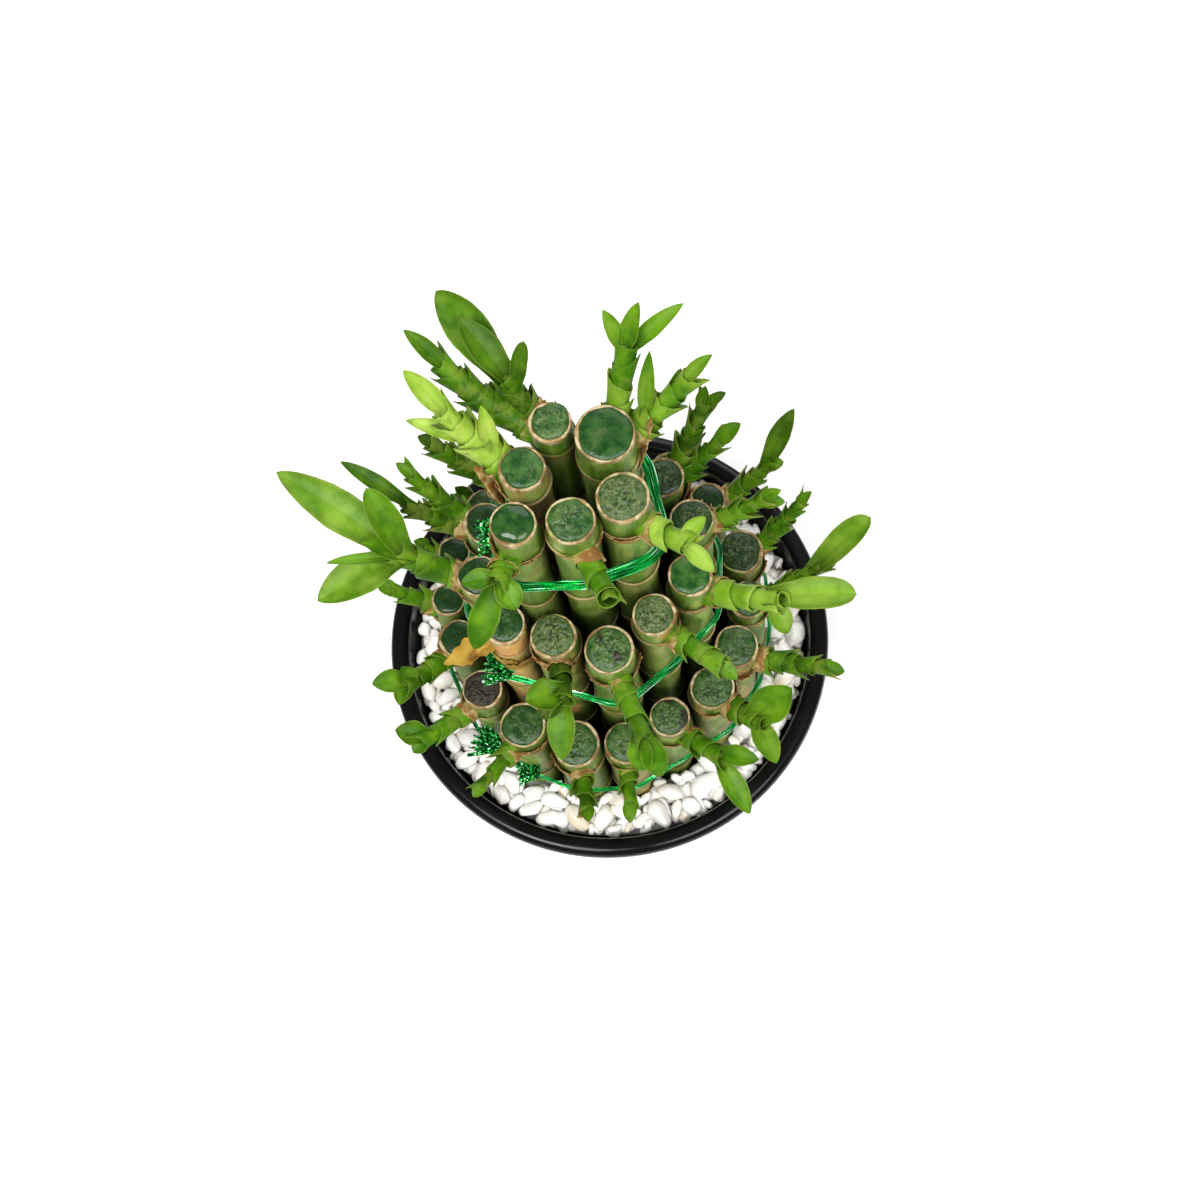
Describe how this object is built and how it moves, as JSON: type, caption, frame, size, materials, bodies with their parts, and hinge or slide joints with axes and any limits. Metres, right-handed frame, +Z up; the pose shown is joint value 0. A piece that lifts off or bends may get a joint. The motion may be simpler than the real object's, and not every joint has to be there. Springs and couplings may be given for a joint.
{
  "type": "lucky bamboo tower in a pot",
  "caption": "Tiered tower of wax-capped lucky bamboo canes with leafy shoots, tied with foil, standing in a round glazed bowl of pebbles.",
  "frame": {"origin": "middle of the pot's flat underside, on the pot's axis, level with the surface it stands on", "axes": "+Z up along the canes; +X to the right and +Y away as the picture shows it from above"},
  "size_m": [0.1494, 0.134, 0.2335],
  "materials": {
    "bowl": "glossy black glaze",
    "pebbles": "polished white stone",
    "cane": "smooth living green rind",
    "leaf": "smooth green leaf, slightly glossy",
    "wax": "dark green sealing wax, satin",
    "foil": "mirror green foil"
  },
  "bodies": {
    "root": {"pot": "bowl", "pebbles": "pebbles", "cane_inner_01": "cane", "cane_inner_02": "cane", "cane_inner_03": "cane", "cane_inner_04": "cane", "cane_inner_05": "cane", "cane_inner_06": "cane", "cane_middle_01": "cane", "cane_middle_02": "cane", "cane_middle_03": "cane", "cane_middle_04": "cane", "cane_middle_05": "cane", "cane_middle_06": "cane", "cane_middle_07": "cane", "cane_middle_08": "cane", "cane_middle_09": "cane", "cane_middle_10": "cane", "cane_middle_11": "cane", "cane_middle_12": "cane", "cane_outer_01": "cane", "cane_outer_02": "cane", "cane_outer_03": "cane", "cane_outer_04": "cane", "cane_outer_05": "cane", "cane_outer_06": "cane", "cane_outer_07": "cane", "cane_outer_08": "cane", "cane_outer_09": "cane", "cane_outer_10": "cane", "cane_outer_11": "cane", "cane_outer_12": "cane", "cane_outer_13": "cane", "cane_outer_14": "cane", "cane_outer_15": "cane", "cane_outer_16": "cane", "cane_outer_17": "cane", "cane_outer_18": "cane", "tie_inner": "foil", "tie_middle": "foil", "tie_outer": "foil"}
  },
  "joints": []
}
